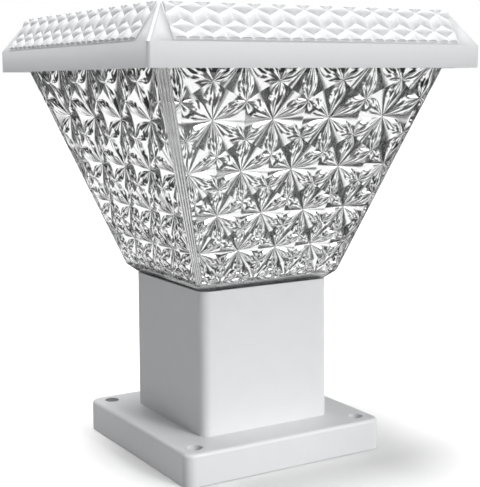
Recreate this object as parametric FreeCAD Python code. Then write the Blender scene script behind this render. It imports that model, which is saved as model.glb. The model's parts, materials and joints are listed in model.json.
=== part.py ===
import FreeCAD, Part
import math
import os

# Solar post lamp: square base plate, square column, crystal shade and hipped roof with a solar panel.
# Millimetres, +Z up, origin at the centre of the base plate's underside.

V = FreeCAD.Vector
UP = V(0, 0, 1)
DOWN = V(0, 0, -1)
ORIGIN = V(0, 0, 0)

# ---------------------------------------------------------------- driving dimensions

# Base plate
base_side = 128.0
base_height = 18.0
base_corner_r = 6.0
base_edge_r = 2.0
base_wall = 3.0
base_rib = 2.0
base_rib_pitch = 24.4
base_ribs_each_way = 4
spigot_height = 3.0
spigot_wall = 2.0
spigot_corner_cut_d = 20.0
anchor_spacing = 107.0
anchor_hole_d = 8.5
anchor_boss_wall = 3.5

# Column and its cap
neck_foot_side = 84.0
neck_head_side = 83.2
neck_height = 79.6
neck_corner_r = 5.5
neck_wall = 2.5
channel_d = 10.0
channel_web = 2.4
channel_wall_gap = 0.6
cap_thickness = 1.6
cap_rib_depth = 5.0
cap_rib_wall = 2.0
cap_rib_length = 48.0
foot_gasket_thickness = 0.7
foot_gasket_inset = 1.3
foot_gasket_opening = 50.0

# Crystal shade
shade_foot_inset = 0.1
shade_bevel_height = 4.3
shade_shoulder_side = 92.8
shade_clear_height = 118.6
band_leg_shoulder = 2.8
band_leg_eave = 5.3
shade_wall = 3.0
shade_floor = 3.5
shade_relief = 3.0
shade_peak_depth = 0.1
shade_rim_wall = 4.0
shade_rim_start = 0.5
star_span = 0.9
star_pitches = 4
star_row_ratio = 0.8745
star_first_row = 4.0
lug_d = 9.0
lug_depth = 16.0
lug_wall_gap = 2.7

# Roof cover
roof_side = 200.0
roof_skirt = 12.0
roof_rise = 19.5
roof_slope_run = 13.0
eave_overhang = 11.6
roof_corner_r = 1.5
roof_top_corner_r = 1.2
skirt_wall = 2.0
roof_boss_d = 6.0
slope_wall = 2.5
panel_step = 0.8
panel_rim = 0.6
panel_foot_gap = 0.4
roof_relief_inset = 0.9
roof_relief_pitches = 12
roof_relief_height = 1.7
roof_relief_lift = 0.15
roof_first_row = 8.6
pocket_floor = 2.5

# Solar panel
solar_frame = 6.0
solar_seal_width = 1.5
backsheet_thickness = 1.6
cell_thickness = 0.3
ribbon_thickness = 0.15
ribbon_width = 2.0
laminate_thickness = 0.9
laminate_set_down = 0.35
cell_columns = 2
cell_rows = 6
cell_gap = 2.0
cell_margin = 4.0
ribbons_per_cell = 2

# Lamp tray
tray_thickness = 4.0
tray_recess = 1.0
tray_gap = 0.3
tray_corner_cut = 2.0
groove_depth = 2.4
groove_gap = 0.3
rim_gasket_thickness = 0.8
eave_screw_inset = 6.7

# Light source
led_board_side = 110.0
led_board_thickness = 1.6
led_count_each_way = 5
led_pitch = 18.0
led_length = 3.5
led_width = 2.8
led_height = 0.8
phosphor_margin = 0.5
phosphor_height = 0.1
led_screw_offset = 45.0

# Battery
cell_d = 18.4
cell_length = 65.0
cell_edge_r = 0.8
cell_cap_d = 6.5
cell_cap_height = 1.0
holder_wall = 1.5
holder_base = 1.2
holder_gap = 0.3
holder_height = 12.0
contact_thickness = 0.5
contact_width = 10.0
contact_rise = 3.5
battery_y = -45.0
holder_screw_offset = 20.0
holder_ear = 7.0

# Control board
board_length = 56.0
board_width = 36.0
board_thickness = 1.6
board_standoff = 3.0
board_y = 20.0
board_screw_inset = 4.0
standoff_d = 6.0
chip_length = 6.0
chip_width = 5.0
chip_height = 1.6
inductor_d = 9.0
inductor_height = 5.0
capacitor_d = 8.0
capacitor_height = 11.0
socket_length = 7.5
socket_depth = 6.0
socket_height = 5.0
chip_place = (-4.0, 0.0)
inductor_place = (8.0, -1.0)
inductor_flange = 1.0
capacitor_places = ((-15.0, -6.0), (-15.0, 5.0))
can_edge_r = 0.6
solar_socket_y = 4.0
led_socket_y = 0.0
battery_socket_x = 2.0
switch_socket_x = 10.0

# Power button and switch
button_inset = 9.0
button_d = 6.0
button_drop = 2.0
button_travel = 1.5
button_edge_r = 0.8
button_collar_d = 8.4
button_collar = 1.0
running_gap = 0.06
plunger_d = 3.0
plunger_length = 3.3
switch_side = 7.0
switch_height = 5.4
switch_clear = 0.3
switch_roof = 0.9
spring_wire_d = 0.3
spring_d = 2.4
spring_turns = 3
switch_board_thickness = 1.2
switch_board_reach = 20.0
switch_board_edge = 4.0
switch_board_cut = 12.0
switch_pad_inset = 7.0
switch_post_offset = 11.0
switch_post_d = 5.0
pin_d = 0.6
pin_rise = 0.8
pin_offset = 2.4

# Fasteners and leads
screw_gap = 0.05
clearance = 0.3
screw_tip_gap = 0.5
screw_end_gap = 1.0
head_round_share = 0.45
recess_reach_share = 0.3
recess_width_share = 0.07
recess_depth_share = 0.55
cut_margin = 1.0
touch = 0.01
base_seat_depth = 5.0
spigot_corner_r = 1.0
lead_d = 1.4
lead_gap = 3.2
lead_bend = 3.0
lead_hole_d = 9.0
lead_run_out = 8.0
lead_reach = 3.2

# ---------------------------------------------------------------- heights and widths that follow

base_top = base_height
neck_top = base_top + neck_height
cap_top = neck_top + cap_thickness
shade_foot_z = cap_top + foot_gasket_thickness
shoulder_z = shade_foot_z + shade_bevel_height
eave_z = shade_foot_z + shade_clear_height
skirt_top = eave_z + roof_skirt
roof_top = skirt_top + roof_rise
tray_bottom = eave_z + tray_recess
tray_top = tray_bottom + tray_thickness
rim_start_z = tray_bottom - shade_rim_start
rim_gasket_top = tray_bottom + groove_depth
rim_top = rim_gasket_top - rim_gasket_thickness

roof_half = roof_side / 2
roof_top_half = roof_half - roof_slope_run
roof_relief_half = roof_top_half - roof_relief_inset
shade_eave_half = roof_half - eave_overhang
solar_half = roof_top_half - solar_frame
skirt_inner = roof_half - skirt_wall
tray_half = skirt_inner - tray_gap
shade_foot_half = neck_head_side / 2 - shade_foot_inset
shade_taper = (shade_eave_half - shade_shoulder_side / 2) / (eave_z - shoulder_z)
slope_length = math.hypot(roof_slope_run, roof_rise)
slope_wall_across = slope_wall * slope_length / roof_rise
shade_wall_across = (shade_wall + shade_relief) * math.hypot(1, shade_taper)

pocket_half = solar_half + solar_seal_width
laminate_top = roof_top - laminate_set_down
laminate_bottom = laminate_top - laminate_thickness
cells_top = laminate_bottom - ribbon_thickness
cells_bottom = cells_top - cell_thickness
pocket_floor_z = cells_bottom - backsheet_thickness
cavity_top = pocket_floor_z - pocket_floor

channel_at = neck_head_side / 2 - neck_wall - channel_wall_gap - channel_d / 2
button_at = roof_half - button_inset
eave_screw_at = roof_half - eave_screw_inset
board_bottom = tray_top + board_standoff
board_top = board_bottom + board_thickness
switch_bottom = tray_top + button_collar + button_travel + switch_clear
switch_top = switch_bottom + switch_height
switch_board_top = switch_top + switch_board_thickness
led_bottom = tray_bottom - led_board_thickness


def shade_half(z):
    """Half width of the shade's nominal outer planes at height z."""
    return shade_shoulder_side / 2 + (z - shoulder_z) * shade_taper


def band_leg(z):
    """Leg of the corner band's chamfer at height z."""
    share = (z - shoulder_z) / (eave_z - shoulder_z)
    return band_leg_shoulder + (band_leg_eave - band_leg_shoulder) * share


def slope_inner(z):
    """Half width of the roof's inner slope at height z."""
    return roof_half - (z - skirt_top) * roof_slope_run / roof_rise - slope_wall_across


base_screw_seat = base_height - base_wall - base_seat_depth
lug_at = shade_half(tray_bottom) - shade_wall_across - lug_wall_gap - lug_d / 2

# Screws: (shank diameter, length under the head, head diameter, head height)
base_screw = (3.5, 18.0, 7.0, 2.4)
foot_screw = (3.5, 22.0, 7.0, 2.4)
tray_screw = (3.0, 12.0, 6.0, 2.0)
roof_screw = (2.9, 9.0, 5.4, 1.6)
small_screw = (2.5, 4.5, 4.6, 1.5)
roof_screw_seat = tray_bottom + roof_screw[3]


# ---------------------------------------------------------------- helpers

def rounded_square(half, radius, z):
    """Closed wire of a square with rounded corners, centred on the axis."""
    flat = half - radius
    bulge = radius * math.sqrt(0.5)
    corners = [(1, 1), (-1, 1), (-1, -1), (1, -1)]
    edges = []
    for index, (sx, sy) in enumerate(corners):
        centre = V(sx * flat, sy * flat, z)
        start = V(radius * sx, 0, 0) if sx == sy else V(0, radius * sy, 0)
        finish = V(0, radius * sy, 0) if sx == sy else V(radius * sx, 0, 0)
        middle = V(bulge * sx, bulge * sy, 0)
        edges.append(Part.Arc(centre + start, centre + middle, centre + finish).toShape())
        nx, ny = corners[(index + 1) % 4]
        after = V(radius * nx, 0, 0) if nx == ny else V(0, radius * ny, 0)
        following = V(nx * flat, ny * flat, z) + after
        edges.append(Part.makeLine(centre + finish, following))
    return Part.Wire(edges)


def polygon_wire(points, z):
    """Closed wire through (x, y) points at height z."""
    corners = [V(x, y, z) for x, y in points]
    return Part.makePolygon(corners + corners[:1])


def chamfered_square(half, leg):
    """Corner points of a square whose corners are cut off by leg."""
    near = half - leg
    quarter = [(half, -near), (half, near)]
    return [turn_point(point, turn) for turn in range(4) for point in quarter]


def turn_point(point, turn):
    """An (x, y) point turned by quarter turns about the axis."""
    x, y = point
    for _ in range(turn):
        x, y = -y, x
    return x, y


def square(half):
    return [(-half, -half), (half, -half), (half, half), (-half, half)]


def prism(wire, height):
    return Part.Face(wire).extrude(V(0, 0, height))


def box(x0, x1, y0, y1, z0, z1):
    return Part.makeBox(x1 - x0, y1 - y0, z1 - z0, V(x0, y0, z0))


def rod(x, y, z0, z1, diameter):
    return Part.makeCylinder(diameter / 2, z1 - z0, V(x, y, z0))


def turned(shape, quarters):
    copy = shape.copy()
    copy.rotate(ORIGIN, UP, 90 * quarters)
    return copy


def four(shape):
    """Four copies a quarter turn apart about the axis."""
    return [turned(shape, quarters) for quarters in range(4)]


def four_corners(offset):
    return [(offset, offset), (-offset, offset), (-offset, -offset), (offset, -offset)]


def four_sides(offset):
    return [(offset, 0), (0, offset), (-offset, 0), (0, -offset)]


def frustum(lower, z0, upper, z1):
    """Solid between two polygons of as many points."""
    return Part.makeLoft([polygon_wire(lower, z0), polygon_wire(upper, z1)], True, True)


def screw(size, x, y, z, direction):
    """Pan head screw whose head bears at height z, with its shank along direction (+1 up, -1 down)."""
    shank_d, length, head_d, head_height = size
    shank = Part.makeCylinder(shank_d / 2, length)
    head = Part.makeCylinder(head_d / 2, head_height, ORIGIN, DOWN)
    rim = [edge for edge in head.Edges if abs(edge.CenterOfMass.z + head_height) < touch]
    head = head.makeFillet(head_height * head_round_share, rim[:1])
    arm = head_d * recess_reach_share
    slot = head_d * recess_width_share
    low = -head_height - cut_margin
    high = head_height * (recess_depth_share - 1)
    cross = box(-arm, arm, -slot, slot, low, high)
    cross = cross.fuse(box(-slot, slot, -arm, arm, low, high))
    solid = shank.fuse(head).cut(cross)
    if direction < 0:
        solid.rotate(ORIGIN, V(1, 0, 0), 180)
    solid.translate(V(x, y, z))
    return solid


def screw_hole(size, x, y, z0, z1):
    """Hole that a screw's shank fills but for a small gap."""
    return rod(x, y, z0, z1, size[0] + 2 * screw_gap)


def lead(points, bend):
    """Round wire along straight runs joined by arcs of the given radius."""
    edges = []
    start = points[0]
    for corner, after in zip(points[1:-1], points[2:]):
        into = (corner - start).normalize()
        out = (after - corner).normalize()
        half_turn = into.getAngle(out) / 2
        setback = bend * math.tan(half_turn)
        arc_start = corner - into * setback
        arc_end = corner + out * setback
        inward = (out - into).normalize()
        middle = corner + inward * (bend / math.cos(half_turn) - bend)
        edges.append(Part.makeLine(start, arc_start))
        edges.append(Part.Arc(arc_start, middle, arc_end).toShape())
        start = arc_end
    edges.append(Part.makeLine(start, points[-1]))
    heading = (points[1] - points[0]).normalize()
    section = Part.Wire([Part.makeCircle(lead_d / 2, points[0], heading)])
    return Part.Wire(edges).makePipeShell([section], True, False)


# ---------------------------------------------------------------- star relief

class Plane:
    """A sloping panel: across runs along it, along runs up it and out points away from the lamp."""

    def __init__(self, foot, along, out):
        self.foot = foot
        self.across = V(1, 0, 0)
        self.along = along
        self.out = out

    def point(self, u, v, height):
        return self.foot + self.across * u + self.along * v + self.out * height


def star_triangles(rows):
    """Lattice triangles between rows of (v, pitch), where every second row is offset by half a pitch."""
    most = max(star_pitches, roof_relief_pitches) // 2 + 3
    reach = range(-most, most + 1)
    found = []
    for index in range(len(rows) - 1):
        shift = 0.5 * (index % 2)
        other = 0.5 - shift
        v0, pitch0 = rows[index]
        v1, pitch1 = rows[index + 1]
        lower = {k: ((k + shift) * pitch0, v0) for k in reach}
        upper = {k: ((k + other) * pitch1, v1) for k in reach}
        step = 0 if shift == 0 else 1
        for k in reach[1:-1]:
            found.append((lower[k], lower[k + 1], upper[k + step]))
            found.append((upper[k], upper[k + 1], lower[k + 1 - step]))
    return found


def clip(polygon, outline):
    """Part of a polygon of (u, v, height) inside a convex outline given anticlockwise."""
    for (ax, ay), (bx, by) in zip(outline, outline[1:] + outline[:1]):
        def side(p):
            return (bx - ax) * (p[1] - ay) - (by - ay) * (p[0] - ax)
        kept = []
        for here, after in zip(polygon, polygon[1:] + polygon[:1]):
            s0 = side(here)
            s1 = side(after)
            if s0 >= 0:
                kept.append(here)
            if s0 * s1 < 0:
                t = s0 / (s0 - s1)
                kept.append(tuple(a + (b - a) * t for a, b in zip(here, after)))
        polygon = kept
        if len(polygon) < 3:
            return []
    return polygon


def border_index(point, outline):
    """Which edges of the outline a (u, v) point lies on."""
    found = []
    for index, ((ax, ay), (bx, by)) in enumerate(zip(outline, outline[1:] + outline[:1])):
        length = math.hypot(bx - ax, by - ay)
        off = ((bx - ax) * (point[1] - ay) - (by - ay) * (point[0] - ax)) / length
        if abs(off) < 1e-4:
            found.append(index)
    return found


def distinct(points):
    """Points of a ring without repeats."""
    ring = []
    for point in points:
        if not ring or math.dist(point, ring[-1]) > 1e-4:
            ring.append(point)
    if len(ring) > 1 and math.dist(ring[0], ring[-1]) <= 1e-4:
        ring.pop()
    return ring


def relief(rows, outline, star_height, peak_height, border_height):
    """Facets rising from each star to each triangle's middle, and the points that lie on each border."""
    facets = []
    borders = [[] for _ in outline]
    for triangle in star_triangles(rows):
        middle_u = sum(p[0] for p in triangle) / 3
        middle_v = sum(p[1] for p in triangle) / 3
        peak = (middle_u, middle_v, peak_height)
        stars = [(u, v, star_height) for u, v in triangle]
        for one, two in zip(stars, stars[1:] + stars[:1]):
            turn = (two[0] - one[0]) * (peak[1] - one[1]) - (two[1] - one[1]) * (peak[0] - one[0])
            corners = [one, two, peak] if turn > 0 else [two, one, peak]
            piece = distinct(clip(corners, outline))
            settled = []
            for corner in piece:
                on = border_index(corner, outline)
                height = border_height if on else corner[2]
                settled.append((corner[0], corner[1], height))
                for index in on:
                    borders[index].append(settled[-1])
            for second, third in zip(settled[1:-1], settled[2:]):
                facets.append((settled[0], second, third))
    chains = []
    for start, points in zip(outline, borders):
        ordered = sorted(points, key=lambda p: math.dist(p[:2], start))
        chains.append(distinct(ordered))
    return [facet for facet in facets if facet_area(facet) > 1e-6], chains


def facet_area(facet):
    (ax, ay, _), (bx, by, _), (cx, cy, _) = facet
    return abs((bx - ax) * (cy - ay) - (by - ay) * (cx - ax)) / 2


def flat_face(points):
    return Part.Face(Part.makePolygon(points + points[:1]))


def sewn_solid(faces):
    """One closed solid from faces that share their edges."""
    shell = Part.makeShell(faces)
    shell.sewShape()
    solid = Part.makeSolid(shell.Shells[0])
    if solid.Volume < 0:
        solid.reverse()
    return solid


# ---------------------------------------------------------------- base plate

def make_base_plate():
    half = base_side / 2
    body = prism(rounded_square(half, base_corner_r, 0), base_height)
    rim = [e for e in body.Edges if abs(e.BoundBox.ZMin - base_height) < touch]
    body = body.makeFillet(base_edge_r, rim)
    hollow = rounded_square(half - base_wall, base_corner_r - base_wall, 0)
    hollow = prism(hollow, base_height - base_wall)
    body = body.cut(hollow)
    reach = half - base_wall / 2
    added = []
    for number in range(base_ribs_each_way):
        at = (number - (base_ribs_each_way - 1) / 2) * base_rib_pitch
        rib = box(at - base_rib / 2, at + base_rib / 2, -reach, reach, 0, base_height - base_wall / 2)
        added.extend([rib, turned(rib, 1)])
    boss_d = anchor_hole_d + 2 * anchor_boss_wall
    for x, y in four_corners(anchor_spacing / 2):
        added.append(rod(x, y, 0, base_height - base_wall / 2, boss_d))
    seat = base_screw[2] + 2 * clearance + 2 * base_rib
    for x, y in four_corners(channel_at):
        added.append(rod(x, y, 0, base_height - base_wall / 2, seat))
    inner_half = neck_foot_side / 2 - neck_wall - clearance
    spigot = rounded_square(inner_half, neck_corner_r - neck_wall, base_height - base_wall / 2)
    spigot = prism(spigot, spigot_height + base_wall / 2)
    opening = rounded_square(inner_half - spigot_wall, spigot_corner_r, base_height)
    spigot = spigot.cut(prism(opening, spigot_height))
    for x, y in four_corners(channel_at):
        spigot = spigot.cut(rod(x, y, base_height, base_height + spigot_height, spigot_corner_cut_d))
    body = body.multiFuse(added + [spigot])
    cuts = []
    for x, y in four_corners(anchor_spacing / 2):
        cuts.append(rod(x, y, 0, base_height, anchor_hole_d))
    for x, y in four_corners(channel_at):
        cuts.append(rod(x, y, 0, base_screw_seat, base_screw[2] + 2 * clearance))
        cuts.append(screw_hole(base_screw, x, y, 0, base_height))
    return body.cut(cuts).removeSplitter()


# ---------------------------------------------------------------- column, cap and gasket

def make_neck_column():
    lower = rounded_square(neck_foot_side / 2, neck_corner_r, base_top)
    upper = rounded_square(neck_head_side / 2, neck_corner_r, neck_top)
    outer = Part.makeLoft([lower, upper], True, True)
    inner_r = neck_corner_r - neck_wall
    lower = rounded_square(neck_foot_side / 2 - neck_wall, inner_r, base_top)
    upper = rounded_square(neck_head_side / 2 - neck_wall, inner_r, neck_top)
    inner = Part.makeLoft([lower, upper], True, True)
    column = outer.cut(inner)
    reach = neck_head_side / 2 - neck_wall / 2
    half_web = channel_web / 2
    channels = []
    for quarter in range(4):
        channel = rod(channel_at, channel_at, base_top, neck_top, channel_d)
        web_x = box(channel_at, reach, channel_at - half_web, channel_at + half_web, base_top, neck_top)
        web_y = box(channel_at - half_web, channel_at + half_web, channel_at, reach, base_top, neck_top)
        channels.append(turned(channel.fuse(web_x).fuse(web_y), quarter))
    column = column.multiFuse(channels)
    base_depth = base_screw[1] - (base_top - base_screw_seat) + screw_end_gap
    foot_depth = foot_screw[1] - shade_floor - foot_gasket_thickness - cap_thickness + screw_end_gap
    holes = []
    for x, y in four_corners(channel_at):
        holes.append(screw_hole(base_screw, x, y, base_top, base_top + base_depth))
        holes.append(screw_hole(foot_screw, x, y, neck_top - foot_depth, neck_top))
    return column.cut(holes).removeSplitter()


def make_neck_cap():
    cap = prism(rounded_square(neck_head_side / 2, neck_corner_r, neck_top), cap_thickness)
    face = neck_head_side / 2 - neck_wall - clearance
    half = cap_rib_length / 2
    rib = box(-half, half, face - cap_rib_wall, face, neck_top - cap_rib_depth, neck_top + cap_thickness / 2)
    cap = cap.multiFuse(four(rib))
    holes = [screw_hole(foot_screw, x, y, neck_top, cap_top) for x, y in four_corners(channel_at)]
    return cap.cut(holes).removeSplitter()


def make_foot_gasket():
    half = shade_foot_half - foot_gasket_inset
    gasket = prism(rounded_square(half, neck_corner_r, cap_top), foot_gasket_thickness)
    opening = polygon_wire(square(foot_gasket_opening / 2), cap_top)
    gasket = gasket.cut(prism(opening, foot_gasket_thickness))
    holes = [screw_hole(foot_screw, x, y, cap_top, shade_foot_z) for x, y in four_corners(channel_at)]
    return gasket.cut(holes)


# ---------------------------------------------------------------- crystal shade

def shade_plane():
    """The front panel of the shade, from its shoulder up."""
    lean = math.hypot(1, shade_taper)
    along = V(0, -shade_taper / lean, 1 / lean)
    out = V(0, -1 / lean, -shade_taper / lean)
    return Plane(V(0, -shade_half(shoulder_z), shoulder_z), along, out)


def shade_rows():
    """Rows of stars from the top down, closer together as the shade narrows."""
    lean = math.hypot(1, shade_taper)
    rows = []
    half = shade_half(eave_z + star_first_row)
    while not rows or rows[-1][0] > -star_first_row:
        v = (half - shade_half(shoulder_z)) / shade_taper * lean
        rows.append((v, 2 * star_span * half / star_pitches))
        half *= star_row_ratio
    return rows


def octagon(half, leg, z):
    return [V(x, y, z) for x, y in chamfered_square(half, leg)]


def make_shade():
    plane = shade_plane()
    lean = math.hypot(1, shade_taper)
    height = (rim_start_z - shoulder_z) * lean
    low = shade_half(shoulder_z) - band_leg(shoulder_z)
    high = shade_half(rim_start_z) - band_leg(rim_start_z)
    outline = [(-low, 0.0), (low, 0.0), (high, height), (-high, height)]
    facets, chains = relief(shade_rows(), outline, -shade_relief, -shade_peak_depth, 0.0)
    foot_leg = band_leg(shoulder_z)
    foot_near = shade_foot_half - foot_leg
    rim_half = shade_half(rim_start_z)
    one_side = [flat_face([plane.point(*corner) for corner in facet]) for facet in facets]
    bottom, right, top, left = [[plane.point(*corner) for corner in chain] for chain in chains]
    one_side.append(flat_face([V(-foot_near, -shade_foot_half, shade_foot_z),
                               V(foot_near, -shade_foot_half, shade_foot_z)] + bottom[::-1]))
    one_side.append(flat_face([V(-high, -rim_half, rim_top), V(high, -rim_half, rim_top)] + top))
    next_left = [V(-p.y, p.x, p.z) for p in left]
    one_side.append(flat_face(right + next_left))
    corner_foot = [V(foot_near, -shade_foot_half, shade_foot_z),
                   V(shade_foot_half, -foot_near, shade_foot_z)]
    one_side.append(flat_face(corner_foot + [next_left[-1], right[0]]))
    corner_rim = [V(high, -rim_half, rim_top), V(rim_half, -high, rim_top)]
    one_side.append(flat_face(corner_rim + [next_left[0], right[-1]]))
    faces = [turned(face, quarter) for quarter in range(4) for face in one_side]
    faces.append(flat_face(octagon(shade_foot_half, foot_leg, shade_foot_z)))
    faces.append(flat_face(octagon(rim_half, band_leg(rim_start_z), rim_top)))
    shade = sewn_solid(faces)
    floor_z = shade_foot_z + shade_floor
    cavity = frustum(square(shade_half(floor_z) - shade_wall_across), floor_z,
                     square(shade_half(rim_top) - shade_wall_across), rim_top)
    lugs = []
    for x, y in four_corners(lug_at):
        lugs.append(rod(x, y, tray_bottom - lug_depth, tray_bottom, lug_d))
    cavity = cavity.cut(lugs)
    step = prism(polygon_wire(square(rim_half - shade_rim_wall), tray_bottom), rim_top - tray_bottom)
    holes = [screw_hole(foot_screw, x, y, shade_foot_z, floor_z) for x, y in four_corners(channel_at)]
    pilot = tray_screw[1] - tray_thickness + screw_end_gap
    for x, y in four_corners(lug_at):
        holes.append(screw_hole(tray_screw, x, y, tray_bottom - pilot, tray_bottom))
    return shade.cut([cavity, step] + holes)


def make_shade_gasket():
    """Square ring between the shade's rim and the roof of the tray's groove."""
    rim_half = shade_half(rim_start_z)
    outer = polygon_wire(chamfered_square(rim_half, band_leg(rim_start_z)), rim_top)
    inner = polygon_wire(square(rim_half - shade_rim_wall), rim_top)
    return prism(outer, rim_gasket_thickness).cut(prism(inner, rim_gasket_thickness))


# ---------------------------------------------------------------- roof cover and solar panel

def roof_panel():
    """Raised panel with star facets on the roof's front slope."""
    along = V(0, roof_slope_run / slope_length, roof_rise / slope_length)
    out = V(0, -roof_rise / slope_length, roof_slope_run / slope_length)
    plane = Plane(V(0, -roof_half, skirt_top), along, out)
    foot = panel_foot_gap
    head = slope_length - panel_foot_gap
    wide = roof_relief_half + panel_rim
    sink = slope_wall / 2
    corners = [(-wide, foot), (wide, foot), (wide, head), (-wide, head)]
    slab_back = [plane.point(u, v, -sink) for u, v in corners]
    slab = Part.Face(Part.makePolygon(slab_back + slab_back[:1])).extrude(out * (sink + panel_step))
    pitch = 2 * roof_relief_half / roof_relief_pitches
    row_gap = pitch * math.sin(math.pi / 3)
    rows = [(roof_first_row + step * row_gap, pitch) for step in range(-2, 3)]
    half = roof_relief_half
    low = foot + panel_rim
    top = head - panel_rim
    outline = [(-half, low), (half, low), (half, top), (-half, top)]
    border = panel_step + roof_relief_lift
    facets, chains = relief(rows, outline, border, border + roof_relief_height, border)
    faces = [flat_face([plane.point(*corner) for corner in facet]) for facet in facets]
    back = [plane.point(u, v, 0) for u, v in outline]
    for index, chain in enumerate(chains):
        after = (index + 1) % 4
        edge = [plane.point(*corner) for corner in chain]
        faces.append(flat_face([back[after], back[index]] + edge))
    faces.append(flat_face(back))
    return slab, sewn_solid(faces)


def make_roof_cover():
    lower = rounded_square(roof_half, roof_corner_r, eave_z)
    middle = rounded_square(roof_half, roof_corner_r, skirt_top)
    upper = rounded_square(roof_top_half, roof_top_corner_r, roof_top)
    block = prism(lower, roof_skirt).fuse(Part.makeLoft([middle, upper], True, True))
    slab, quilt = roof_panel()
    added = four(slab) + four(quilt)
    cavity = prism(polygon_wire(square(skirt_inner), eave_z), skirt_top - eave_z)
    cavity_foot = square(slope_inner(skirt_top))
    cavity_head = square(slope_inner(cavity_top))
    cavity = cavity.fuse(frustum(cavity_foot, skirt_top, cavity_head, cavity_top))
    bosses = []
    for x, y in four_sides(eave_screw_at):
        bosses.append(rod(x, y, tray_top, cavity_top, roof_boss_d))
    cavity = cavity.cut(bosses)
    pocket = prism(polygon_wire(square(pocket_half), pocket_floor_z), roof_top - pocket_floor_z + cut_margin)
    holes = [rod(panel_hole_x, panel_hole_y, cavity_top, pocket_floor_z, lead_hole_d)]
    depth = roof_screw[1] - (tray_top - roof_screw_seat) + screw_tip_gap
    for x, y in four_sides(eave_screw_at):
        holes.append(screw_hole(roof_screw, x, y, tray_top, tray_top + depth))
    return block.multiFuse(added).cut([cavity, pocket] + holes)


panel_hole_x = -board_length / 2 - lead_run_out
panel_hole_y = board_y + solar_socket_y


def make_solar_backsheet():
    return prism(polygon_wire(square(solar_half), pocket_floor_z), backsheet_thickness)


def cell_grid():
    """Centre and size of each solar cell."""
    usable = 2 * (solar_half - cell_margin)
    length = (usable - (cell_columns - 1) * cell_gap) / cell_columns
    width = (usable - (cell_rows - 1) * cell_gap) / cell_rows
    for column in range(cell_columns):
        for row in range(cell_rows):
            x = -usable / 2 + length / 2 + column * (length + cell_gap)
            y = -usable / 2 + width / 2 + row * (width + cell_gap)
            yield x, y, length, width


def make_solar_cells():
    cells = []
    for x, y, length, width in cell_grid():
        cells.append(box(x - length / 2, x + length / 2, y - width / 2, y + width / 2,
                         cells_bottom, cells_top))
    return Part.makeCompound(cells)


def make_solar_ribbons():
    """Flat ribbons that run over each column of cells."""
    usable = 2 * (solar_half - cell_margin)
    columns = sorted({(x, length) for x, _, length, _ in cell_grid()})
    ribbons = []
    for x, length in columns:
        for number in range(ribbons_per_cell):
            at = x + ((number + 0.5) / ribbons_per_cell - 0.5) * length
            ribbons.append(box(at - ribbon_width / 2, at + ribbon_width / 2, -usable / 2, usable / 2,
                               cells_top, laminate_bottom))
    return Part.makeCompound(ribbons)


def make_solar_laminate():
    return prism(polygon_wire(square(solar_half), laminate_bottom), laminate_thickness)


def make_solar_seal():
    height = laminate_top - pocket_floor_z
    ring = prism(polygon_wire(square(pocket_half), pocket_floor_z), height)
    return ring.cut(prism(polygon_wire(square(solar_half), pocket_floor_z), height))


# ---------------------------------------------------------------- lamp tray

def make_lamp_tray():
    tray = prism(polygon_wire(chamfered_square(tray_half, tray_corner_cut), tray_bottom), tray_thickness)
    added = []
    for x, y in board_screws():
        added.append(rod(x, y, tray_top, board_bottom, standoff_d))
    for x, y in switch_posts():
        added.append(rod(x, y, tray_top, switch_top, switch_post_d))
    tray = tray.multiFuse(added)
    rim_half = shade_half(rim_start_z)
    leg = band_leg(rim_start_z)
    outer = prism(polygon_wire(chamfered_square(rim_half + groove_gap, leg), tray_bottom), groove_depth)
    inner = prism(polygon_wire(square(rim_half - shade_rim_wall - groove_gap), tray_bottom), groove_depth)
    cuts = [outer.cut(inner)]
    for x, y in board_screws():
        cuts.append(screw_hole(small_screw, x, y, board_top - small_screw[1] - screw_tip_gap, board_bottom))
    for x, y in switch_posts():
        cuts.append(screw_hole(small_screw, x, y, switch_board_top - small_screw[1] - screw_tip_gap,
                               switch_top))
    for x, y in four_corners(lug_at):
        cuts.append(screw_hole(tray_screw, x, y, tray_bottom, tray_top))
    for x, y in four_sides(eave_screw_at):
        cuts.append(screw_hole(roof_screw, x, y, tray_bottom, tray_top))
        cuts.append(rod(x, y, tray_bottom, roof_screw_seat, roof_screw[2] + 2 * clearance))
    for x, y in four_corners(led_screw_offset):
        cuts.append(screw_hole(small_screw, x, y, tray_bottom, led_bottom + small_screw[1] + screw_tip_gap))
    for x, y in holder_screws():
        low = tray_top + holder_base - small_screw[1] - screw_tip_gap / 2
        cuts.append(screw_hole(small_screw, x, y, low, tray_top))
    cuts.append(rod(button_at, button_at, tray_bottom, tray_top, button_d + 2 * running_gap))
    cuts.append(rod(led_hole_x, board_y, tray_bottom, tray_top, lead_hole_d))
    return tray.cut(cuts).removeSplitter()


led_hole_x = board_length / 2 + lead_run_out + lead_reach


# ---------------------------------------------------------------- light source

def make_led_board():
    board = prism(polygon_wire(square(led_board_side / 2), led_bottom), led_board_thickness)
    places = four_corners(led_screw_offset)
    return board.cut([screw_hole(small_screw, x, y, led_bottom, tray_bottom) for x, y in places])


def led_positions():
    middle = (led_count_each_way - 1) / 2
    steps = [(number - middle) * led_pitch for number in range(led_count_each_way)]
    return [(x, y) for x in steps for y in steps]


def led_blocks(a, b, z0, z1):
    return Part.makeCompound([box(x - a, x + a, y - b, y + b, z0, z1) for x, y in led_positions()])


def make_led_packages():
    return led_blocks(led_length / 2, led_width / 2, led_bottom - led_height, led_bottom)


def make_led_phosphor():
    top = led_bottom - led_height
    half_length = led_length / 2 - phosphor_margin
    half_width = led_width / 2 - phosphor_margin
    return led_blocks(half_length, half_width, top - phosphor_height, top)


# ---------------------------------------------------------------- battery

def holder_screws():
    """Screws through the ears on the holder's inner side."""
    y = battery_y + cell_d / 2 + holder_gap + holder_wall + holder_ear / 2
    return [(-holder_screw_offset, y), (holder_screw_offset, y)]


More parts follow.
